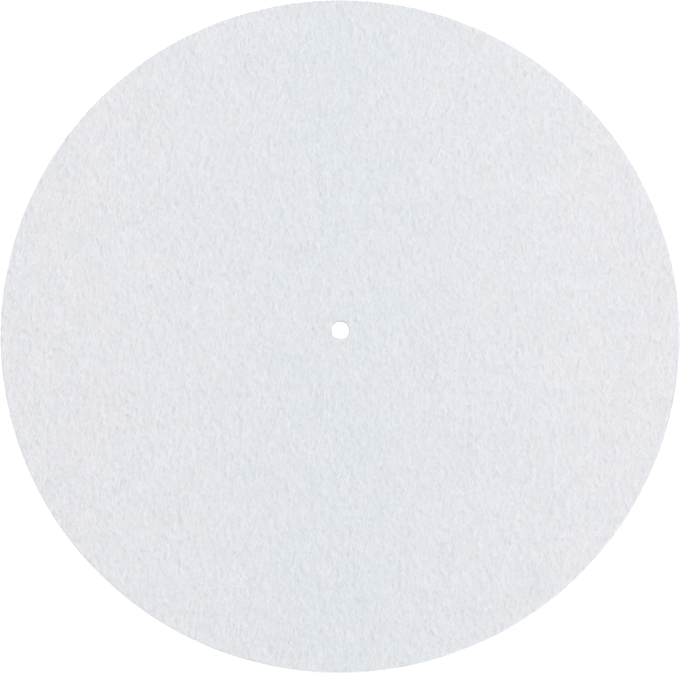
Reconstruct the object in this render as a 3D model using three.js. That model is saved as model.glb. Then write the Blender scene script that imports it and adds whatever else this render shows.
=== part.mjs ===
// A felt mat for a record player's platter: one disc die-cut from white needled felt, with a
// round hole in the middle for the platter's spindle. Millimetres, +Z up. The origin is the
// centre of the spindle hole at the underside, which lies on the platter.
import * as THREE from "three";

// The disc that the cutting die leaves.
const MAT_DIAMETER = 300;
const FELT_THICKNESS = 3;

// The hole slips over a standard spindle with a little room all round.
const SPINDLE_DIAMETER = 7.2;
const SPINDLE_CLEARANCE = 0.25;

// The die presses from above, so it draws the upper edges down further than the lower ones.
const RIM_UPPER_ROUND = 0.6;
const RIM_LOWER_ROUND = 0.3;
const HOLE_UPPER_ROUND = 0.45;
const HOLE_LOWER_ROUND = 0.25;

// Facets round the disc, and along each quarter round of its section.
const TURN_FACETS = 200;
const EDGE_FACETS = 3;
const QUARTER_TURN = Math.PI / 2;

const rimRadius = MAT_DIAMETER / 2;
const holeRadius = SPINDLE_DIAMETER / 2 + SPINDLE_CLEARANCE;

/** Two rounds on one wall, each at most its share of the wall's height. */
function roundsOnWall(upper, lower, height) {
  const share = Math.min(1, height / (upper + lower));
  return [upper * share, lower * share];
}

/** A quarter round of the section, as points, from one angle on through a right angle. */
function quarterRound(centreRadius, centreHeight, round, from) {
  const points = [];
  for (let step = 0; step <= EDGE_FACETS; step += 1) {
    const angle = from + (step / EDGE_FACETS) * QUARTER_TURN;
    points.push(
      new THREE.Vector2(
        centreRadius + round * Math.cos(angle),
        centreHeight + round * Math.sin(angle),
      ),
    );
  }
  return points;
}

/** The felt's cut section, in radius and height: out along the underside, and back over the top. */
function cutSection() {
  const [rimUpper, rimLower] = roundsOnWall(RIM_UPPER_ROUND, RIM_LOWER_ROUND, FELT_THICKNESS);
  const [holeUpper, holeLower] = roundsOnWall(HOLE_UPPER_ROUND, HOLE_LOWER_ROUND, FELT_THICKNESS);
  const section = [
    ...quarterRound(rimRadius - rimLower, rimLower, rimLower, -QUARTER_TURN),
    ...quarterRound(rimRadius - rimUpper, FELT_THICKNESS - rimUpper, rimUpper, 0),
    ...quarterRound(holeRadius + holeUpper, FELT_THICKNESS - holeUpper, holeUpper, QUARTER_TURN),
    ...quarterRound(holeRadius + holeLower, holeLower, holeLower, 2 * QUARTER_TURN),
  ];
  section.push(section[0].clone());
  return section;
}

/** Soft white felt: matt, faintly cool. */
function whiteFelt() {
  return new THREE.MeshStandardMaterial({
    name: "white_felt",
    color: new THREE.Color(0.78, 0.8, 0.83),
    roughness: 0.95,
    metalness: 0,
  });
}

/** The whole mat: the section turned once round the spindle's axis. */
function feltMat() {
  const disc = new THREE.LatheGeometry(cutSection(), TURN_FACETS);
  disc.rotateX(Math.PI / 2);
  const mat = new THREE.Mesh(disc, whiteFelt());
  mat.name = "felt_mat";
  return mat;
}

const platterMat = new THREE.Group();
platterMat.add(feltMat());

export default platterMat;
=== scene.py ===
"""A white felt mat for a record player's platter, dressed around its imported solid.

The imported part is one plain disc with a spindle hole. This script puts the felt there: a closed
body with die-cut edges and matted relief, a nap of loose fibres on both faces, and finer fuzz on
the cut walls. Lengths are in metres, +Z is up, and the felt's grain runs along Y.
"""

import logging
import math
from dataclasses import dataclass
from enum import Enum
from typing import Any

import bpy
import numpy as np
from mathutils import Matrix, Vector


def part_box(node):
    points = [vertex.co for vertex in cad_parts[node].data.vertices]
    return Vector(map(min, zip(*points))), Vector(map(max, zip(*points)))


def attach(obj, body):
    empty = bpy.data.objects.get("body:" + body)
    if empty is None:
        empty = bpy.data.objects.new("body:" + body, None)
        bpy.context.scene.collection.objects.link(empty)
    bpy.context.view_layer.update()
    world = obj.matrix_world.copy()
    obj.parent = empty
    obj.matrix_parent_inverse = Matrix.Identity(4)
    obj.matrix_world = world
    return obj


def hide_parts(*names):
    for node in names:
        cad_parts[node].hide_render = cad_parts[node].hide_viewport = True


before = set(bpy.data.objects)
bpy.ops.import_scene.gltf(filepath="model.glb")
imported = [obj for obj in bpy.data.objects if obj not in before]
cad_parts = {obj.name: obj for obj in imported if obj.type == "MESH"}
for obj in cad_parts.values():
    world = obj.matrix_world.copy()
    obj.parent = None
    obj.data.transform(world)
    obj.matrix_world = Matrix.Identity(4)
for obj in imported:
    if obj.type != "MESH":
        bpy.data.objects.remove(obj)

MM = 0.001
NODE = "felt_mat"
BODY = "root"
UNWRAP = "OFBake"
TONE = "tone"
LIFT = "lift"
MOST_TRIANGLES = 190_000
WHITE = (1.0, 1.0, 1.0, 1.0)
FLATTEN = (1.0, 1.0, 0.0)
"""Multiplies a place to drop its height."""
NOISE_MIDDLE = 0.5
"""The number that Blender's noise swings around."""
MAP_MIDDLE = (0.5, 0.5, 0.0)
"""The spindle's axis on the felt's map."""

log = logging.getLogger("felt_mat")

Colour = tuple[float, float, float, float]
Triple = tuple[float, float, float]
Socket = bpy.types.NodeSocket
Feed = Any
"""What goes into a node's input: another node's output, or a plain value."""


class Side(Enum):
    """The surfaces of the mat on which fibres root."""

    FACE = "face"
    UNDERSIDE = "underside"
    CUT_WALLS = "cut_walls"


class Draw(Enum):
    """The random numbers that each fibre draws, each from a stream of its own."""

    FAN_FIRST = 1
    FAN_SECOND = 2
    LENGTH = 3
    LIFT = 5
    TONE = 6


class NodeDesk:
    """Adds nodes to one tree and wires them, so that the tree reads as its steps."""

    def __init__(self, tree: bpy.types.NodeTree) -> None:
        """Starts on the tree that the nodes go into."""
        self.tree = tree

    def node(
        self, kind: str, feeds: dict[Any, Feed] | None = None, **settings: Any
    ) -> bpy.types.Node:
        """Adds one node.

        Args:
            kind: Blender's name for the type of node.
            feeds: what goes into its inputs, by position or by name.
            **settings: the node's own options, such as operation="ADD".

        Returns:
            The node.
        """
        node = self.tree.nodes.new(kind)
        for name, value in settings.items():
            setattr(node, name, value)
        for key, feed in (feeds or {}).items():
            if isinstance(feed, Socket):
                self.tree.links.new(feed, node.inputs[key])
            else:
                node.inputs[key].default_value = feed
        return node

    def math(self, operation: str, first: Feed, second: Feed = 0.0) -> Socket:
        """One sum on numbers, by the Math node's operation."""
        return self.node("ShaderNodeMath", {0: first, 1: second}, operation=operation).outputs[0]

    def vector(self, operation: str, first: Feed, second: Feed = None) -> Socket:
        """One sum on vectors.

        Args:
            operation: the Vector Math node's operation. SCALE takes a number as its second.
            first: its first vector.
            second: its second vector or number, where it takes one.

        Returns:
            The result, which is a number for LENGTH and DOT_PRODUCT.
        """
        feeds = {0: first}
        if second is not None:
            feeds[3 if operation == "SCALE" else 1] = second
        node = self.node("ShaderNodeVectorMath", feeds, operation=operation)
        return node.outputs[1 if operation in ("LENGTH", "DOT_PRODUCT") else 0]

    def axes(self, vector: Feed) -> Any:
        """Splits a vector into its X, Y and Z."""
        return self.node("ShaderNodeSeparateXYZ", {0: vector}).outputs

    def spread(self, value: Feed, start: float, end: float, low: float, high: float) -> Socket:
        """Carries a value from start and end onto low and high, and holds it past them."""
        feeds = {0: value, 1: start, 2: end, 3: low, 4: high}
        return self.node("ShaderNodeMapRange", feeds, clamp=True).outputs[0]

    def noise(
        self, where: Feed, width: Feed, seed: Feed, detail: float, rough: float = 0.5
    ) -> bpy.types.Node:
        """A soft random pattern.

        Args:
            where: the place that it is read at, in metres.
            width: about how far apart its swells are, in metres.
            seed: picks one pattern.
            detail: how many finer patterns are laid on it.
            rough: how strong the finer ones are.

        Returns:
            The node. Its first output is one number near a half, and its second is three.
        """
        finer = self.math("DIVIDE", 1.0, width)
        feeds = {"Vector": where, "W": seed, "Scale": finer, "Detail": detail, "Roughness": rough}
        return self.node("ShaderNodeTexNoise", feeds, noise_dimensions="4D")

    def drift(self, where: Feed, width: Feed, seed: Feed, reach: Feed) -> Socket:
        """A soft random push of about that reach, which bends what would be straight."""
        bent = self.noise(where, width, seed, detail=0.0).outputs[1]
        return self.vector("SCALE", self.vector("SUBTRACT", bent, (NOISE_MIDDLE,) * 3), reach)

    def blend(self, share: Feed, first: Feed, second: Feed) -> Socket:
        """Blends two colours, with a share of the second from 0 to 1."""
        feeds = {0: share, 6: first, 7: second}
        return self.node("ShaderNodeMix", feeds, data_type="RGBA").outputs[2]


class FormTree(NodeDesk):
    """A Geometry Nodes tree with named sizes, which shapes a mesh and leaves a plain one."""

    def __init__(self, name: str) -> None:
        """Starts an empty tree.

        Args:
            name: the tree's name.
        """
        super().__init__(bpy.data.node_groups.new(name, "GeometryNodeTree"))
        sides = self.tree.interface
        sides.new_socket("Geometry", in_out="INPUT", socket_type="NodeSocketGeometry")
        sides.new_socket("Geometry", in_out="OUTPUT", socket_type="NodeSocketGeometry")
        self.start = self.tree.nodes.new("NodeGroupInput")
        self.values: dict[str, Any] = {}

    @property
    def blank(self) -> Socket:
        """The mesh that the tree is given."""
        return self.start.outputs["Geometry"]

    @property
    def place(self) -> Socket:
        """Where each point is."""
        return self.node("GeometryNodeInputPosition").outputs[0]

    @property
    def normal(self) -> Socket:
        """Which way the mesh faces at each point."""
        return self.node("GeometryNodeInputNormal").outputs[0]

    def size(self, name: str, value: float | int) -> Socket:
        """Adds a named input.

        Args:
            name: what it is.
            value: what the modifier sets it to.

        Returns:
            The input, for use in the tree.
        """
        kind = "NodeSocketInt" if isinstance(value, int) else "NodeSocketFloat"
        socket = self.tree.interface.new_socket(name, in_out="INPUT", socket_type=kind)
        self.values[socket.identifier] = value
        return self.start.outputs[name]

    def moved(self, shape: Socket, **feeds: Feed) -> Socket:
        """Moves the geometry's points, to a Position or by an Offset."""
        return self.node("GeometryNodeSetPosition", {"Geometry": shape, **feeds}).outputs[0]

    def store(self, shape: Socket, name: str, value: Feed, kind: str, domain: str) -> Socket:
        """Stores a named attribute of that kind on the geometry's points or corners."""
        feeds = {"Geometry": shape, "Name": name, "Value": value}
        return self.node(
            "GeometryNodeStoreNamedAttribute", feeds, data_type=kind, domain=domain
        ).outputs[0]

    def end(self, shape: Socket, material: bpy.types.Material, smooth: bool) -> None:
        """Closes the tree: plain geometry in its finish.

        Args:
            shape: the geometry made so far.
            material: the finish that it wears.
            smooth: whether it is shaded smooth.
        """
        feeds = {"Geometry": shape, "Shade Smooth": smooth}
        shaded = self.node("GeometryNodeSetShadeSmooth", feeds).outputs[0]
        real = self.node("GeometryNodeRealizeInstances", {"Geometry": shaded}).outputs[0]
        worn = self.node("GeometryNodeSetMaterial", {"Geometry": real, "Material": material})
        finish = self.tree.nodes.new("NodeGroupOutput")
        self.tree.links.new(worn.outputs[0], finish.inputs[0])

    def shape(self, name: str, blank: bpy.types.Mesh) -> bpy.types.Object:
        """Runs the tree on a mesh.

        Args:
            name: the piece's name.
            blank: the mesh that it starts from.

        Returns:
            The piece, a plain mesh at the origin with no modifier left.
        """
        piece = put_in_scene(bpy.data.objects.new(name, blank))
        modifier = piece.modifiers.new(name, "NODES")
        modifier.node_group = self.tree
        for identifier, value in self.values.items():
            modifier[identifier] = value
        graph = bpy.context.evaluated_depsgraph_get()
        made = bpy.data.meshes.new_from_object(
            piece.evaluated_get(graph), preserve_all_data_layers=True, depsgraph=graph
        )
        made.name = name
        piece.modifiers.clear()
        piece.data = made
        return piece


def put_in_scene(thing: bpy.types.Object) -> bpy.types.Object:
    """Links an object to the scene, and gives it back."""
    bpy.context.scene.collection.objects.link(thing)
    return thing


@dataclass(frozen=True)
class WoolShade:
    """How the white wool's shade drifts: cool down the middle of the bolt and faintly lavender
    to both sides, in soft patches, and a little lighter on a lock and darker between locks, partly
    the wool's own density and partly painted shade in the hollows."""

    cool: Colour = (0.828, 0.849, 0.870, 1.0)
    lavender: Colour = (0.864, 0.858, 0.887, 1.0)
    cool_half: float = 10 * MM
    lavender_half: float = 110 * MM
    patch_width: float = 16 * MM
    patch_share: float = 2.2
    patch_detail: float = 3.5
    patch_rough: float = 0.7
    lock_width: float = 1.8 * MM
    lock_stretch: float = 1.7
    lock_detail: float = 1.0
    lock_rough: float = 0.5
    # how much lighter a lock is and darker the hollow between locks: partly the wool's density,
    # partly painted shade
    lock_tone_and_shade: float = 0.05
    lock_fall: float = 0.95 * MM
    lean: float = math.radians(8)
    patch_seed: float = 9.0
    lock_seed: float = 1.0

    def drawn(self, desk: NodeDesk, place: Socket, turn: float, stretch: float) -> Socket:
        """Turns a place and shortens it in one direction, which draws a pattern out in it.

        Args:
            desk: the tree at work.
            place: a place on the felt, in metres.
            turn: how far the direction is off the Y axis, clockwise from above.
            stretch: how many times longer than wide the pattern becomes.

        Returns:
            The place to read the pattern at.
        """
        facing = {"Vector": place, "Rotation": (0.0, 0.0, turn)}
        straight = desk.node("ShaderNodeMapping", facing).outputs[0]
        shorten = {"Vector": straight, "Scale": (1.0, 1 / stretch, 1.0)}
        return desk.node("ShaderNodeMapping", shorten).outputs[0]

    def locks(self, desk: NodeDesk, place: Socket) -> Socket:
        """The matted locks of wool, which lie over towards +X, so that flank is the steeper. The
        first pass reads them upright, and the second reads each place where it came from.

        Args:
            desk: the tree at work.
            place: a place on the felt, in metres.

        Returns:
            A number around zero, higher on a lock and lower between locks.
        """
        locks: Feed = 0.0
        for _ in range(2):
            fallen = desk.vector("SCALE", (self.lock_fall, 0.0, 0.0), locks)
            origin = desk.vector("SUBTRACT", place, fallen)
            along = self.drawn(desk, origin, self.lean, self.lock_stretch)
            field = desk.noise(
                along, self.lock_width, self.lock_seed, self.lock_detail, self.lock_rough
            ).outputs[0]
            locks = desk.math("SUBTRACT", field, NOISE_MIDDLE)
        return locks

    def colour(self, desk: NodeDesk, place: Socket, locks: Socket) -> Socket:
        """The wool's colour.

        Args:
            desk: the tree at work.
            place: a place on the felt, in metres.
            locks: the locks there.

        Returns:
            The colour.
        """
        off_middle = desk.math("ABSOLUTE", desk.axes(place)[0])
        aside = desk.spread(off_middle, self.cool_half, self.lavender_half, 0.0, 1.0)
        patches = desk.noise(
            place, self.patch_width, self.patch_seed, self.patch_detail, self.patch_rough
        ).outputs[0]
        swing = desk.math("SUBTRACT", patches, NOISE_MIDDLE)
        patchy = desk.math("MULTIPLY", swing, self.patch_share)
        share = desk.spread(desk.math("ADD", aside, patchy), 0.0, 1.0, 0.0, 1.0)
        shade = desk.blend(share, self.cool, self.lavender)
        # partly the wool's density and partly painted shade: darker in the hollows between locks,
        # lighter on them
        lighter = desk.math("MULTIPLY", locks, self.lock_tone_and_shade)
        return desk.vector("SCALE", shade, desk.math("ADD", lighter, 1.0))


@dataclass(frozen=True)
class MattedFibres:
    """The fibres matted into the felt's skin: thin ridges that wind along several directions,
    each direction lying a little lower than the one before."""

    headings: tuple[float, ...] = (9.0, -20.0, 38.0, 80.0)
    spacing: float = 0.7 * MM
    stretch: float = 6.0
    fineness: float = 0.09
    sinking: float = 0.12
    wander: float = 1.2 * MM
    wander_width: float = 4.0 * MM
    seed: float = 30.0

    def ridges(self, desk: NodeDesk, shade: WoolShade, place: Socket) -> Socket:
        """The fibres on top at each place.

        Args:
            desk: the tree at work.
            shade: the wool that they are of.
            place: a place on the felt, in metres.

        Returns:
            1 along the back of a fibre, down to 0 between fibres.
        """
        drift = desk.drift(place, self.wander_width, self.seed, self.wander)
        winding = desk.vector("ADD", place, drift)
        top: Feed = 0.0
        for order, heading in enumerate(self.headings):
            along = shade.drawn(desk, winding, math.radians(heading), self.stretch)
            own_seed = self.seed + order + 1.0
            field = desk.noise(along, self.spacing, own_seed, detail=0.0).outputs[0]
            away = desk.math("ABSOLUTE", desk.math("SUBTRACT", field, NOISE_MIDDLE))
            back = desk.spread(away, 0.0, self.fineness, 1.0 - self.sinking * order, 0.0)
            top = desk.math("MAXIMUM", back, top)
        return top


@dataclass(frozen=True)
class WoolFinish:
    """What the felt's finishes share: the wool's shade and its dull surface."""

    name: str = "white_wool"
    shade: WoolShade = WoolShade()
    roughness: float = 0.95
    sheen: float = 0.04
    shine: float = 0.0

    def start(self) -> tuple[bpy.types.Material, NodeDesk, bpy.types.Node]:
        """Makes a material with its plain values.

        Returns:
            The material, the desk at its tree, and its shader.
        """
        material = bpy.data.materials.new(self.name)
        material.use_nodes = True
        skin = material.node_tree.nodes["Principled BSDF"]
        skin.inputs["Roughness"].default_value = self.roughness
        skin.inputs["Sheen Weight"].default_value = self.sheen
        skin.inputs["Specular IOR Level"].default_value = self.shine
        return material, NodeDesk(material.node_tree), skin


@dataclass(frozen=True)
class FeltFinish(WoolFinish):
    """The matted body: white wool, with locks and fibres in relief, painted shade between the locks
    and between the fibre backs, and painted light on the rim's band and the warm-tinted cut walls.
    """

    name: str = "white_felt_body"
    fibres: MattedFibres = MattedFibres()
    # painted light: the paler colour of the band along the rim's round
    rim_painted_light: Colour = (0.895, 0.893, 0.89, 1.0)
    rim_light_band: float = 0.9 * MM
    # the cut walls' own warm tint, and painted light: paler than the wool, to lift the walls' shade
    cut_tint_and_painted_light: Colour = (0.905, 0.895, 0.885, 1.0)
    cut_band: float = 0.6 * MM
    lock_relief: float = 1.6 * MM
    fibre_relief: float = 0.05 * MM
    # painted shade: how much darker the gaps between fibre backs are than the backs
    fibre_gap_shade: float = 0.06
    matted_tone: float = 0.975

    def material(
        self, unrolled_radius: float, rim_radius: float, hole_radius: float
    ) -> bpy.types.Material:
        """Makes the material.

        Args:
            unrolled_radius: how far from the centre the unrolled felt reaches on its map.
            rim_radius: how far from the centre the face ends on that map.
            hole_radius: how far from the centre it starts.

        Returns:
            The material.
        """
        material, desk, skin = self.start()
        unrolled = desk.node("ShaderNodeUVMap", uv_map=UNWRAP).outputs[0]
        middle = desk.vector("SUBTRACT", unrolled, MAP_MIDDLE)
        place = desk.vector("SCALE", middle, 2 * unrolled_radius)
        locks = self.shade.locks(desk, place)
        backs = self.fibres.ridges(desk, self.shade, place)
        # painted shade: the body's colour is darker in the gaps between fibre backs and lighter on
        # them
        half = self.fibre_gap_shade / 2
        tone = desk.spread(backs, 0.0, 1.0, self.matted_tone - half, self.matted_tone + half)
        colour = desk.vector("SCALE", self.shade.colour(desk, place, locks), tone)
        reach = desk.vector("LENGTH", place)
        # painted light: a paler band along the rim's round, standing in for light caught by loose
        # fibres and lifting the round's shade
        edge = desk.spread(reach, rim_radius - self.rim_light_band, rim_radius, 0.0, 1.0)
        colour = desk.blend(edge, colour, self.rim_painted_light)
        # the cut walls take a warmer tint that is also painted paler: painted light lifting their
        # shade
        past_rim = desk.spread(reach, rim_radius, rim_radius + self.cut_band, 0.0, 1.0)
        past_hole = desk.spread(reach, hole_radius, hole_radius - self.cut_band, 0.0, 1.0)
        colour = desk.blend(desk.math("MAXIMUM", past_rim, past_hole), colour, self.cut_tint_and_painted_light)
        lock_height = desk.math("MULTIPLY", locks, self.lock_relief)
        fibre_height = desk.math("MULTIPLY", backs, self.fibre_relief)
        height = desk.math("ADD", lock_height, fibre_height)
        relief = {"Strength": 1.0, "Distance": 1.0, "Height": height}
        bump = desk.node("ShaderNodeBump", relief).outputs[0]
        material.node_tree.links.new(colour, skin.inputs["Base Color"])
        material.node_tree.links.new(bump, skin.inputs["Normal"])
        return material


@dataclass(frozen=True)
class FibreFinish(WoolFinish):
    """The loose fibres: the same wool, each fibre with a tone of its own."""

    name: str = "white_wool_fibre"
    dullest: float = 1.0
    palest: float = 1.13
    pale_rarity: float = 1.5
    roughness: float = 0.9

    def material(self) -> bpy.types.Material:
        """Makes the material, whose colour varies from fibre to fibre.

        Returns:
            The material.
        """
        material, desk, skin = self.start()
        solid = desk.node("ShaderNodeTexCoord").outputs["Object"]
        place = desk.vector("MULTIPLY", solid, FLATTEN)
        # the fibres take the same lock colour as the body, with its painted shade between locks
        colour = self.shade.colour(desk, place, self.shade.locks(desk, place))
        own = desk.node("ShaderNodeAttribute", attribute_name=TONE).outputs["Fac"]
        rare = desk.math("POWER", own, self.pale_rarity)
        tone = desk.spread(rare, 0.0, 1.0, self.dullest, self.palest)
        toned = desk.vector("SCALE", colour, tone)
        material.node_tree.links.new(toned, skin.inputs["Base Color"])
        return material


@dataclass
class FeltBody:
    """The disc that the die leaves: two matted faces, a rounded rim and a punched hole.

    Each of the hole's lobes says how often it comes round the hole, how deep it is and where
    the first one lies.
    """

    rim_radius: float
    thickness: float
    spindle_diameter: float = 7.2 * MM
    spindle_clearance: float = 0.25 * MM
    rim_upper_round: float = 0.6 * MM
    rim_lower_round: float = 0.3 * MM
    hole_upper_round: float = 0.45 * MM
    hole_lower_round: float = 0.25 * MM
    round_steps: int = 3
    wall_steps: int = 3
    facet: float = 1.42 * MM
    hole_facets: int = 72
    hole_lobes: tuple[tuple[int, float, float], ...] = (
        (0, -0.09 * MM, 0.0),
        (1, 0.09 * MM, 0.0),
        (2, 0.13 * MM, math.radians(90)),
        (3, 0.04 * MM, math.radians(-18)),
        (4, 0.08 * MM, math.radians(45)),
    )
    lobe_fade: float = 2.5 * MM
    lock_height: float = 0.10 * MM
    lock_width: float = 3.5 * MM
    lock_stretch: float = 2.0
    lock_detail: float = 2.0
    swell_height: float = 0.12 * MM
    swell_width: float = 28 * MM
    swell_detail: float = 1.0
    seed: int = 11

    @classmethod
    def of_node(cls, node: str) -> "FeltBody":
        """Takes the disc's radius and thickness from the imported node."""
        low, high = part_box(node)
        return cls(rim_radius=(high[0] - low[0]) / 2, thickness=high[2] - low[2])

    @property
    def hole_radius(self) -> float:
        """The hole's radius: the spindle with its clearance."""
        return self.spindle_diameter / 2 + self.spindle_clearance

    @property
    def unrolled_radius(self) -> float:
        """How far the felt reaches on its map, where each wall folds out to half its height."""
        return self.rim_radius + self.thickness / 2

    @property
    def face_area(self) -> float:
        """The area of one face."""
        return math.pi * (self.rim_radius**2 - self.hole_radius**2)

    @property
    def wall_area(self) -> float:
        """The area of the two cut walls."""
        return math.tau * (self.rim_radius + self.hole_radius) * self.thickness

    def stations(self) -> list[tuple[float, float, int]]:
        """Walks round the section before its corners are rounded: out over the face, down the
        rim, in along the underside and up the hole.

        Returns:
            For each ring its radius, its height and its number of facets.
        """
        inner, outer, top = self.hole_radius, self.rim_radius, self.thickness
        steps = self.round_steps

        def path(start: float, end: float, first: float, last: float, middle: int) -> list[float]:
            """Places along one side: fine in its two rounds, and even between them.

            Args:
                start: where the side starts.
                end: where it ends.
                first: the round at its start.
                last: the round at its end.
                middle: the number of steps between the rounds.

            Returns:
                The places, without the end.
            """
            way = math.copysign(1.0, end - start)
            opening = [start + way * first * step / steps for step in range(steps)]
            closing = [end - way * last * step / steps for step in range(steps, 0, -1)]
            low, high = start + way * first, end - way * last
            even = [low + (high - low) * step / middle for step in range(middle)]
            return opening + even + closing

        rings_across = round((outer - inner) / (self.facet * math.sqrt(3) / 2))
        face = path(inner, outer, self.hole_upper_round, self.rim_upper_round, rings_across)
        rim = path(top, 0.0, self.rim_upper_round, self.rim_lower_round, self.wall_steps)
        under = path(outer, inner, self.rim_lower_round, self.hole_lower_round, rings_across)
        hole = path(0.0, top, self.hole_lower_round, self.hole_upper_round, self.wall_steps)
        section = [(radius, top) for radius in face] + [(outer, height) for height in rim]
        section += [(radius, 0.0) for radius in under] + [(inner, height) for height in hole]
        return [
            (radius, height, max(self.hole_facets, round(math.tau * radius / self.facet)))
            for radius, height in section
        ]

    def blank(self) -> bpy.types.Mesh:
        """Strings rings of nearly even triangles round the sharp section.

        Returns:
            The closed mesh, with corners still sharp.
        """
        stations = self.stations()
        places: list[np.ndarray] = []
        rings: list[tuple[int, np.ndarray]] = []
        count = 0
        for order, (radius, height, facets) in enumerate(stations):
            turn = (np.arange(facets) + 0.5 * (order % 2)) / facets
            around = math.tau * turn
            ring = np.column_stack(
                [radius * np.cos(around), radius * np.sin(around), np.full(facets, height)]
            )
            places.append(ring)
            rings.append((count, turn))
            count += facets
        faces: list[tuple[int, int, int]] = []
        for order, inner in enumerate(rings):
            faces += self.stitch(inner, rings[(order + 1) % len(rings)])
        mesh = bpy.data.meshes.new("felt_blank")
        mesh.from_pydata(np.concatenate(places).tolist(), [], faces)
        mesh.update()
        return mesh

    @staticmethod
    def stitch(
        first: tuple[int, np.ndarray], second: tuple[int, np.ndarray]
    ) -> list[tuple[int, int, int]]:
        """Joins two rings by a strip of triangles, whatever their numbers of facets.

        Args:
            first: one ring's first vertex and the turns of its vertices, from 0 to 1.
            second: the same for the next ring of the section.

        Returns:
            The triangles.
        """
        (base_a, turns_a), (base_b, turns_b) = first, second
        ends_a = np.append(turns_a, turns_a[0] + 1).tolist()
        ends_b = np.append(turns_b, turns_b[0] + 1).tolist()
        size_a, size_b = len(turns_a), len(turns_b)
        at_a = at_b = 0
        strip = []
        while at_a < size_a or at_b < size_b:
            here_a, here_b = base_a + at_a % size_a, base_b + at_b % size_b
            step_b = at_a == size_a or (at_b < size_b and ends_b[at_b + 1] < ends_a[at_a + 1])
            if step_b:
                strip.append((here_a, here_b, base_b + (at_b + 1) % size_b))
                at_b += 1
            else:
                strip.append((here_a, here_b, base_a + (at_a + 1) % size_a))
                at_a += 1
        return strip

    def tree(self, material: bpy.types.Material) -> FormTree:
        """The rule of the form: rounded corners, a worn hole, matted relief and the unwrap.

        Args:
            material: the finish that the body wears.

        Returns:
            The tree, with its sizes set.
        """
        tree = FormTree("felt_form")
        rim = tree.size("Rim radius", self.rim_radius)
        hole = tree.size("Hole radius", self.hole_radius)
        thick = tree.size("Thickness", self.thickness)
        rounds = [
            tree.size("Rim upper round", self.rim_upper_round),
            tree.size("Rim lower round", self.rim_lower_round),
            tree.size("Hole upper round", self.hole_upper_round),
            tree.size("Hole lower round", self.hole_lower_round),
        ]
        seed = tree.size("Seed", self.seed)
        axes = tree.axes(tree.place)
        flat = tree.node("ShaderNodeCombineXYZ", {0: axes[0], 1: axes[1]}).outputs[0]
        radius = tree.vector("LENGTH", flat)
        outward = tree.vector("NORMALIZE", flat)
        height = axes[2]
        unwrapped = self.unwrapped(tree, radius, outward, height)
        mapped = tree.store(tree.blank, UNWRAP, unwrapped, "FLOAT2", "CORNER")
        middle_radius = tree.math("MULTIPLY", tree.math("ADD", rim, hole), 0.5)
        near_rim = tree.math("GREATER_THAN", radius, middle_radius)
        upper = tree.math("GREATER_THAN", height, tree.math("MULTIPLY", thick, 0.5))
        at_rim = tree.node("ShaderNodeMix", {0: upper, 2: rounds[1], 3: rounds[0]}).outputs[0]
        at_hole = tree.node("ShaderNodeMix", {0: upper, 2: rounds[3], 3: rounds[2]}).outputs[0]
        corner = tree.node("ShaderNodeMix", {0: near_rim, 2: at_hole, 3: at_rim}).outputs[0]
        core_radius = tree.math("MINIMUM", radius, tree.math("SUBTRACT", rim, corner))
        core_radius = tree.math("MAXIMUM", core_radius, tree.math("ADD", hole, corner))
        core_height = tree.math("MINIMUM", height, tree.math("SUBTRACT", thick, corner))
        core_height = tree.math("MAXIMUM", core_height, corner)
        off_radius = tree.math("SUBTRACT", radius, core_radius)
        off_height = tree.math("SUBTRACT", height, core_height)
        off = tree.node("ShaderNodeCombineXYZ", {0: off_radius, 1: off_height}).outputs[0]
        rounded = tree.vector("SCALE", tree.vector("NORMALIZE", off), corner)
        push = tree.axes(rounded)
        new_radius = tree.math("ADD", core_radius, push[0])
        new_radius = tree.math("ADD", new_radius, self.lobes(tree, axes, radius, hole))
        new_height = tree.math("ADD", core_height, push[1])
        rise = tree.node("ShaderNodeCombineXYZ", {2: new_height}).outputs[0]
        shaped = tree.vector("ADD", tree.vector("SCALE", outward, new_radius), rise)
        section = tree.moved(mapped, Position=shaped)
        matted = tree.moved(section, Offset=self.matting(tree, seed))
        tree.end(matted, material, smooth=True)
        return tree

    def unwrapped(
        self, tree: FormTree, radius: Socket, outward: Socket, height: Socket
    ) -> Socket:
        """Unrolls the felt on its map: both faces as seen from above, with each wall folded out
        from its nearer edge, so that the grain runs on over the edges.

        Args:
            tree: the tree at work.
            radius: a point's distance from the axis, on the sharp section.
            outward: its direction from the axis.
            height: its height, on the sharp section.

        Returns:
            Its place on the map.
        """
        below_top = tree.math("SUBTRACT", self.thickness, height)
        drop = tree.math("MINIMUM", height, below_top)
        middle = (self.rim_radius + self.hole_radius) / 2
        way = tree.math("SIGN", tree.math("SUBTRACT", radius, middle))
        reach = tree.math("ADD", radius, tree.math("MULTIPLY", drop, way))
        scaled = tree.math("DIVIDE", reach, 2 * self.unrolled_radius)
        return tree.vector("ADD", tree.vector("SCALE", outward, scaled), MAP_MIDDLE)

    def lobes(self, tree: FormTree, axes: Any, radius: Socket, hole: Socket) -> Socket:
        """The punched hole's slight lobes, which fade into the face around it.

        Args:
            tree: the tree at work.
            axes: a point's X, Y and Z.
            radius: its distance from the axis.
            hole: the hole's radius.

        Returns:
            How far the point moves outwards.
        """
        turn = tree.math("ARCTAN2", axes[1], axes[0])
        total: Feed = 0.0
        for count, depth, lean in self.hole_lobes:
            angle = tree.math("MULTIPLY", tree.math("SUBTRACT", turn, lean), float(count))
            wave = tree.math("COSINE", angle)
            total = tree.math("ADD", tree.math("MULTIPLY", wave, depth), total)
        away = tree.math("SUBTRACT", radius, hole)
        fade = tree.spread(away, 0.0, self.lobe_fade, 1.0, 0.0)
        return tree.math("MULTIPLY", total, fade)

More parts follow.
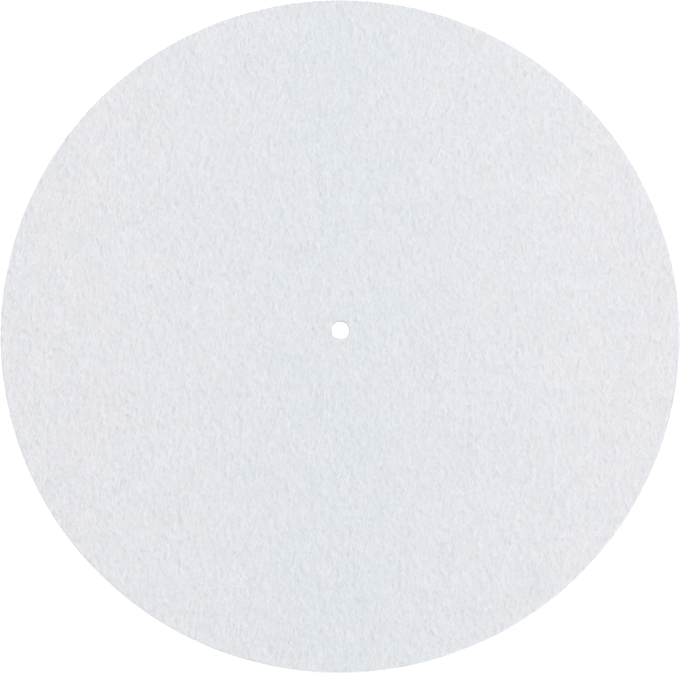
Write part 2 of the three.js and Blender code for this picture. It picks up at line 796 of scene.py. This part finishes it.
    def matting(self, tree: FormTree, seed: Socket) -> Socket:
        """The felt's unevenness: matted locks along the grain on broad, faint swells, all sunk
        below the die-cut form, so that the mat keeps its size.

        Args:
            tree: the tree at work.
            seed: picks the pattern.

        Returns:
            How each point moves.
        """
        lock_height = tree.size("Lock height", self.lock_height)
        swell_height = tree.size("Swell height", self.swell_height)
        along = tree.vector("MULTIPLY", tree.place, (1.0, 1 / self.lock_stretch, 1.0))
        locks = tree.noise(along, self.lock_width, seed, self.lock_detail).outputs[0]
        swells = tree.noise(tree.place, self.swell_width, seed, self.swell_detail).outputs[0]
        under_locks = tree.math("MULTIPLY", locks, lock_height)
        under_swells = tree.math("MULTIPLY", swells, swell_height)
        sunk = tree.math("ADD", under_locks, under_swells)
        return tree.vector("SCALE", tree.normal, tree.math("MULTIPLY", sunk, -1.0))

    def build(self, material: bpy.types.Material) -> bpy.types.Object:
        """Makes the body in its finish, as one plain mesh."""
        return self.tree(material).shape("felt_body", self.blank())


@dataclass
class FibreLayer:
    """Loose fibres that root in one side of the felt and lie along its grain.

    A felt face counts as level when its normal's upright part is over the level value, and the
    unit ring is the radius of a three-sided ring about one unit wide.
    """

    name: str
    side: Side
    count: int
    seed: int
    shortest: float = 3.0 * MM
    longest: float = 7.0 * MM
    thickness: float = 0.15 * MM
    flatness: float = 0.6
    unit_ring: float = 0.577
    taper: float = 0.5
    lean: float = math.radians(8)
    fan: float = math.radians(32)
    wander: float = 3.0 * MM
    wander_width: float = 4.0 * MM
    bed: float = -0.01 * MM
    lift: float = 0.05 * MM
    lowest_lift: float = 0.2
    bends: int = 5
    weld: float = 0.001 * MM
    level: float = 0.7
    stream_step: int = 1000

    def rooted(self, tree: FormTree) -> Socket:
        """Picks the part of the body that the fibres root in.

        Args:
            tree: the tree at work.

        Returns:
            Whether a face of the body may carry one.
        """
        upright = tree.axes(tree.normal)[2]
        if self.side is Side.FACE:
            return tree.math("GREATER_THAN", upright, self.level)
        if self.side is Side.UNDERSIDE:
            return tree.math("LESS_THAN", upright, -self.level)
        return tree.math("LESS_THAN", tree.math("ABSOLUTE", upright), self.level)

    def random(self, tree: FormTree, low: float, high: float, seed: Socket, draw: Draw) -> Socket:
        """One random number for each fibre, from low to high, out of the draw's own stream."""
        stream = tree.math("ADD", seed, float(self.stream_step * draw.value))
        feeds = {2: low, 3: high, 8: stream}
        return tree.node("FunctionNodeRandomValue", feeds, data_type="FLOAT").outputs[1]

    def roots(self, tree: FormTree, body: FeltBody, seed: Socket) -> Socket:
        """Scatters the points that the fibres root at, each with its lift and its tone.

        Args:
            tree: the tree at work.
            body: the felt that carries the fibres.
            seed: picks the random part.

        Returns:
            The points.
        """
        area = body.wall_area if self.side is Side.CUT_WALLS else body.face_area
        density = tree.size("Fibres per square metre", self.count / area)
        where = self.rooted(tree)
        feeds = {"Mesh": tree.blank, "Selection": where, "Density": density, "Seed": seed}
        points = tree.node("GeometryNodeDistributePointsOnFaces", feeds).outputs[0]
        lift = self.random(tree, self.lowest_lift, 1.0, seed, Draw.LIFT)
        points = tree.store(points, LIFT, lift, "FLOAT", "POINT")
        tone = self.random(tree, 0.0, 1.0, seed, Draw.TONE)
        return tree.store(points, TONE, tone, "FLOAT", "POINT")

    def turned(self, tree: FormTree, seed: Socket) -> Socket:
        """Gives each fibre its direction: the grain on the faces, the cut on the walls.

        Args:
            tree: the tree at work.
            seed: picks the random part.

        Returns:
            The rotation that takes a fibre along X to its direction.
        """
        first = self.random(tree, -1.0, 1.0, seed, Draw.FAN_FIRST)
        second = self.random(tree, -1.0, 1.0, seed, Draw.FAN_SECOND)
        scatter = tree.math("ADD", first, second)
        swing = tree.math("MULTIPLY", scatter, tree.size("Fan", self.fan))
        if self.side is not Side.CUT_WALLS:
            heading = tree.math("ADD", swing, math.pi / 2 - self.lean)
            return self.rotation(tree, 2, heading)
        axes = tree.axes(tree.place)
        heading = tree.math("ADD", tree.math("ARCTAN2", axes[1], axes[0]), math.pi / 2)
        feeds = {0: self.rotation(tree, 2, heading), 1: self.rotation(tree, 1, swing)}
        return tree.node("FunctionNodeRotateRotation", feeds, rotation_space="LOCAL").outputs[0]

    @staticmethod
    def rotation(tree: FormTree, axis: int, angle: Socket) -> Socket:
        """Makes a rotation around one axis: 0 for X, 1 for Y and 2 for Z."""
        turn = tree.node("ShaderNodeCombineXYZ", {axis: angle}).outputs[0]
        return tree.node("FunctionNodeEulerToRotation", {0: turn}).outputs[0]

    def laid(self, tree: FormTree, roots: Socket, seed: Socket) -> Socket:
        """Lays a strand on each root, in its direction, and lets it wander.

        Args:
            tree: the tree at work.
            roots: the points that the fibres root at.
            seed: picks the random part.

        Returns:
            The strands, as curves.
        """
        shortest = tree.size("Shortest", self.shortest)
        longest = tree.size("Longest", self.longest)
        share = self.random(tree, 0.0, 1.0, seed, Draw.LENGTH)
        more = tree.math("MULTIPLY", tree.math("SUBTRACT", longest, shortest), share)
        length = tree.math("ADD", shortest, more)
        ends = {0: (-0.5, 0.0, 0.0), 1: (0.5, 0.0, 0.0)}
        line = tree.node("GeometryNodeCurvePrimitiveLine", ends).outputs[0]
        bends = {"Curve": line, "Count": self.bends}
        line = tree.node("GeometryNodeResampleCurve", bends).outputs[0]
        turned = self.turned(tree, seed)
        feeds = {"Points": roots, "Instance": line, "Rotation": turned, "Scale": length}
        laid = tree.node("GeometryNodeInstanceOnPoints", feeds).outputs[0]
        strands = tree.node("GeometryNodeRealizeInstances", {"Geometry": laid}).outputs[0]
        wander = tree.size("Wander", self.wander)
        return tree.moved(strands, Offset=tree.drift(tree.place, self.wander_width, seed, wander))

    @staticmethod
    def arch(tree: FormTree) -> Socket:
        """The arch of a strand: 0 at its ends and 1 at its middle."""
        along = tree.node("GeometryNodeSplineParameter").outputs[0]
        return tree.math("SINE", tree.math("MULTIPLY", along, math.pi))

    def pressed(self, tree: FormTree, strands: Socket) -> Socket:
        """Presses the strands onto the felt, each in an arch of its own, and faces them to it.

        Args:
            tree: the tree at work.
            strands: the strands.

        Returns:
            The strands on the felt.
        """
        target = {"Target": tree.blank}
        near = tree.node("GeometryNodeProximity", target, target_element="FACES").outputs[0]
        normal = tree.node(
            "GeometryNodeSampleNearestSurface",
            {"Mesh": tree.blank, "Value": tree.normal},
            data_type="FLOAT_VECTOR",
        ).outputs[0]
        name = {"Name": LIFT}
        own = tree.node("GeometryNodeInputNamedAttribute", name, data_type="FLOAT").outputs[0]
        rise = tree.math("MULTIPLY", self.arch(tree), own)
        rise = tree.math("MULTIPLY", rise, tree.size("Lift", self.lift))
        raised = tree.vector("SCALE", normal, tree.math("ADD", rise, self.bed))
        strands = tree.moved(strands, Position=tree.vector("ADD", near, raised))
        facing = {"Curve": strands, "Normal": normal}
        return tree.node("GeometryNodeSetCurveNormal", facing, mode="FREE").outputs[0]

    def profile(self, tree: FormTree) -> Socket:
        """A fibre's section, one unit wide: a low roof on a flat base that faces the felt.

        Args:
            tree: the tree at work.

        Returns:
            The section as a closed curve.
        """
        sides = {"Resolution": 3, "Radius": self.unit_ring}
        ring = tree.node("GeometryNodeCurvePrimitiveCircle", sides).outputs[0]
        pressed = {"Geometry": ring, "Scale": (self.flatness, 1.0, 1.0)}
        return tree.node("GeometryNodeTransform", pressed).outputs[0]

    def bodied(self, tree: FormTree, strands: Socket, body: FeltBody) -> Socket:
        """Gives each strand its tapered body, and puts it on the felt's map as seen from above.

        Args:
            tree: the tree at work.
            strands: the strands on the felt.
            body: the felt that carries them.

        Returns:
            The fibres as a mesh.
        """
        taper = tree.math("POWER", self.arch(tree), self.taper)
        width = tree.math("MULTIPLY", taper, tree.size("Fibre thickness", self.thickness))
        feeds = {"Curve": strands, "Profile Curve": self.profile(tree), "Scale": width}
        tubes = tree.node("GeometryNodeCurveToMesh", feeds).outputs[0]
        weld = {"Geometry": tubes, "Distance": self.weld}
        tubes = tree.node("GeometryNodeMergeByDistance", weld).outputs[0]
        flat = tree.vector("MULTIPLY", tree.place, FLATTEN)
        scaled = tree.vector("SCALE", flat, 1 / (2 * body.unrolled_radius))
        mapped = tree.vector("ADD", scaled, MAP_MIDDLE)
        return tree.store(tubes, UNWRAP, mapped, "FLOAT2", "CORNER")

    def tree(self, body: FeltBody, material: bpy.types.Material) -> FormTree:
        """The rule of the layer: root, lay along the grain, press onto the felt and give body.

        Args:
            body: the felt that carries the fibres.
            material: the finish that they wear.

        Returns:
            The tree, with its sizes set.
        """
        tree = FormTree(f"{self.name}_form")
        seed = tree.size("Seed", self.seed)
        strands = self.laid(tree, self.roots(tree, body, seed), seed)
        fibres = self.bodied(tree, self.pressed(tree, strands), body)
        tree.end(fibres, material, smooth=False)
        return tree

    def build(
        self, body: FeltBody, felt: bpy.types.Object, material: bpy.types.Material
    ) -> bpy.types.Object:
        """Makes the layer on the felt, as one plain mesh."""
        return self.tree(body, material).shape(self.name, felt.data.copy())


@dataclass
class Softbox:
    """One soft lamp of the copy stand."""

    name: str
    place: Vector
    side: float
    watts: float
    colour: Triple

    def build(self, target: Vector) -> None:
        """Hangs the lamp and points it.

        Args:
            target: what it shines on.
        """
        data = bpy.data.lights.new(self.name, "AREA")
        data.shape = "SQUARE"
        data.size = self.side
        data.energy = self.watts
        data.color = self.colour
        lamp = bpy.data.objects.new(self.name, data)
        lamp.location = self.place
        lamp.rotation_mode = "QUATERNION"
        lamp.rotation_quaternion = (target - self.place).to_track_quat("-Z", "Y")
        put_in_scene(lamp)


@dataclass
class Studio:
    """The plain pale floor, the soft lamps overhead and at the right, and the pale room."""

    floor_half: float = 30.0
    floor_paint: Colour = (0.88, 0.88, 0.88, 1.0)
    # painted light: the extra camera-only glow on the floor under the hole, lifting its shade
    hole_painted_glow: float = 0.34
    hole_reach: tuple[float, float] = (0.005, 0.1)
    near_glow: float = 0.38
    far_glow: float = 0.75
    near_reach: float = 0.25
    far_reach: float = 1.0
    room: Colour = (0.97, 1.0, 1.01, 1.0)
    ceiling_level: float = 0.116
    skirt_level: float = 1.9
    skirt_fade: float = 2.0
    lamp_width: float = 1.4
    top_place: Triple = (0.0, 0.38, 2.6)
    top_watts: float = 31.6
    side_place: Triple = (2.6, 0.3, 2.2)
    side_watts: float = 30.4
    lamp_colour: Triple = (0.99, 0.985, 0.99)

    def seen_directly(self, desk: NodeDesk) -> Socket:
        """Tells the rays that show the background from those that light the object.

        Args:
            desk: the tree at work.

        Returns:
            1 for camera, mirror and glass rays, and 0 for the rest.
        """
        rays = desk.node("ShaderNodeLightPath").outputs
        shown = desk.math("MAXIMUM", rays["Is Camera Ray"], rays["Is Glossy Ray"])
        return desk.math("MAXIMUM", shown, rays["Is Transmission Ray"])

    def floor_material(self) -> bpy.types.Material:
        """White paper that keeps the object's shadow: painted, with a glow that only shows, and
        painted light under the hole, where a stronger glow hides the floor's shade.

        Returns:
            The material.
        """
        material = bpy.data.materials.new("white_paper_floor")
        material.use_nodes = True
        tree = material.node_tree
        desk = NodeDesk(tree)
        tree.nodes.remove(tree.nodes["Principled BSDF"])
        place = desk.node("ShaderNodeTexCoord").outputs["Object"]
        reach = desk.vector("LENGTH", place)
        glow = desk.spread(reach, self.near_reach, self.far_reach, self.near_glow, self.far_glow)
        # painted light: a stronger camera-only glow on the floor under the hole lifts the shade
        # there
        glow = desk.math("ADD", glow, desk.spread(reach, *self.hole_reach, self.hole_painted_glow, 0.0))
        shown = desk.math("MULTIPLY", glow, self.seen_directly(desk))
        paint = desk.node("ShaderNodeBsdfDiffuse", {"Color": self.floor_paint}).outputs[0]
        light = desk.node("ShaderNodeEmission", {"Strength": shown}).outputs[0]
        both = desk.node("ShaderNodeAddShader", {0: paint, 1: light}).outputs[0]
        tree.links.new(both, tree.nodes["Material Output"].inputs["Surface"])
        return material

    def floor(self) -> bpy.types.Object:
        """Lays the floor under the mat.

        Returns:
            The floor.
        """
        half = self.floor_half
        corners = [(-half, -half, 0.0), (half, -half, 0.0), (half, half, 0.0), (-half, half, 0.0)]
        mesh = bpy.data.meshes.new("studio_floor")
        mesh.from_pydata(corners, [], [(0, 1, 2, 3)])
        mesh.materials.append(self.floor_material())
        return put_in_scene(bpy.data.objects.new("studio_floor", mesh))

    def world(self) -> bpy.types.World:
        """Makes the pale room: white where it is seen. Its fill comes from low all round, as
        from white screens, and less from overhead.

        Returns:
            The world.
        """
        world = bpy.data.worlds.new("pale_room")
        world.use_nodes = True
        desk = NodeDesk(world.node_tree)
        shown = self.seen_directly(desk)
        background = world.node_tree.nodes["Background"]
        colour = desk.blend(shown, self.room, WHITE)
        way = desk.node("ShaderNodeTexCoord").outputs["Generated"]
        up = desk.axes(way)[2]
        low = desk.math("POWER", desk.spread(up, 0.0, 1.0, 1.0, 0.0), self.skirt_fade)
        glow = desk.math("ADD", desk.math("MULTIPLY", low, self.skirt_level), self.ceiling_level)
        level = desk.node("ShaderNodeMix", {0: shown, 2: glow, 3: 1.0}).outputs[0]
        world.node_tree.links.new(colour, background.inputs["Color"])
        world.node_tree.links.new(level, background.inputs["Strength"])
        return world

    def build(self) -> None:
        """Sets up the lamps, the room and the floor."""
        target = Vector((0.0, 0.0, 0.0))
        lamps = (
            ("lamp_overhead", self.top_place, self.top_watts),
            ("lamp_right", self.side_place, self.side_watts),
        )
        for name, place, watts in lamps:
            Softbox(name, Vector(place), self.lamp_width, watts, self.lamp_colour).build(target)
        bpy.context.scene.world = self.world()
        bpy.context.scene.view_settings.view_transform = "Standard"
        floor = self.floor()


@dataclass
class CopyCamera:
    """The camera over the mat, a few degrees off the vertical towards its near side."""

    tilt: float = math.radians(8.32)
    distance: float = 1.16
    lens: float = 139.28
    sensor: float = 36.0
    aim: tuple[float, float] = (-0.13 * MM, -3.10 * MM)

    def build(self, height: float) -> None:
        """Sets up the camera.

        Args:
            height: the height of the face that it looks at.
        """
        target = Vector((*self.aim, height))
        back = Vector((0.0, -math.sin(self.tilt), math.cos(self.tilt)))
        data = bpy.data.cameras.new("copy_camera")
        data.lens = self.lens
        data.sensor_width = self.sensor
        camera = bpy.data.objects.new("copy_camera", data)
        camera.location = target + back * self.distance
        camera.rotation_mode = "QUATERNION"
        camera.rotation_quaternion = (-back).to_track_quat("-Z", "Y")
        bpy.context.scene.camera = put_in_scene(camera)


def put_on_frame(felt: bpy.types.Object, layers: list[bpy.types.Object]) -> None:
    """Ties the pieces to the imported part: the felt stands for its node, and the fibres lie on it.

    Args:
        felt: the felt body.
        layers: the fibre layers.
    """
    for piece in (felt, *layers):
        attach(piece, BODY)
    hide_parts(NODE)


def nap_layers() -> list[FibreLayer]:
    """Lists the mat's fibre layers, on the face from the felt upwards."""
    return [
        FibreLayer("face_nap_low", Side.FACE, 10200, 21, thickness=0.20 * MM),
        FibreLayer("face_nap_mid", Side.FACE, 10200, 22, thickness=0.16 * MM, bed=0.01 * MM),
        FibreLayer(
            "face_nap_high",
            Side.FACE,
            10200,
            23,
            thickness=0.12 * MM,
            bed=0.02 * MM,
            lift=0.09 * MM,
        ),
        FibreLayer("underside_nap", Side.UNDERSIDE, 6000, 24),
        FibreLayer(
            "cut_wall_fuzz",
            Side.CUT_WALLS,
            5000,
            25,
            shortest=1.2 * MM,
            longest=3.2 * MM,
            thickness=0.12 * MM,
            bed=0.01 * MM,
        ),
    ]


def log_piece(piece: bpy.types.Object) -> None:
    """Logs a piece's triangles, and stops the script where there are too many.

    Args:
        piece: the piece.
    """
    piece.data.calc_loop_triangles()
    count = len(piece.data.loop_triangles)
    log.info("%s has %d triangles", piece.name, count)
    if count > MOST_TRIANGLES:
        raise ValueError(f"{piece.name} has {count} triangles, over {MOST_TRIANGLES}")


def main() -> None:
    """Builds the studio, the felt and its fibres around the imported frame."""
    logging.basicConfig(level=logging.INFO, format="%(name)s: %(message)s")
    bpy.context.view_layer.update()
    body = FeltBody.of_node(NODE)
    CopyCamera().build(body.thickness)
    Studio().build()
    felt_skin = FeltFinish().material(body.unrolled_radius, body.rim_radius, body.hole_radius)
    fibre_skin = FibreFinish().material()
    felt = body.build(felt_skin)
    layers = [layer.build(body, felt, fibre_skin) for layer in nap_layers()]
    for piece in (felt, *layers):
        log_piece(piece)
    put_on_frame(felt, layers)


if __name__ == "__main__":
    main()
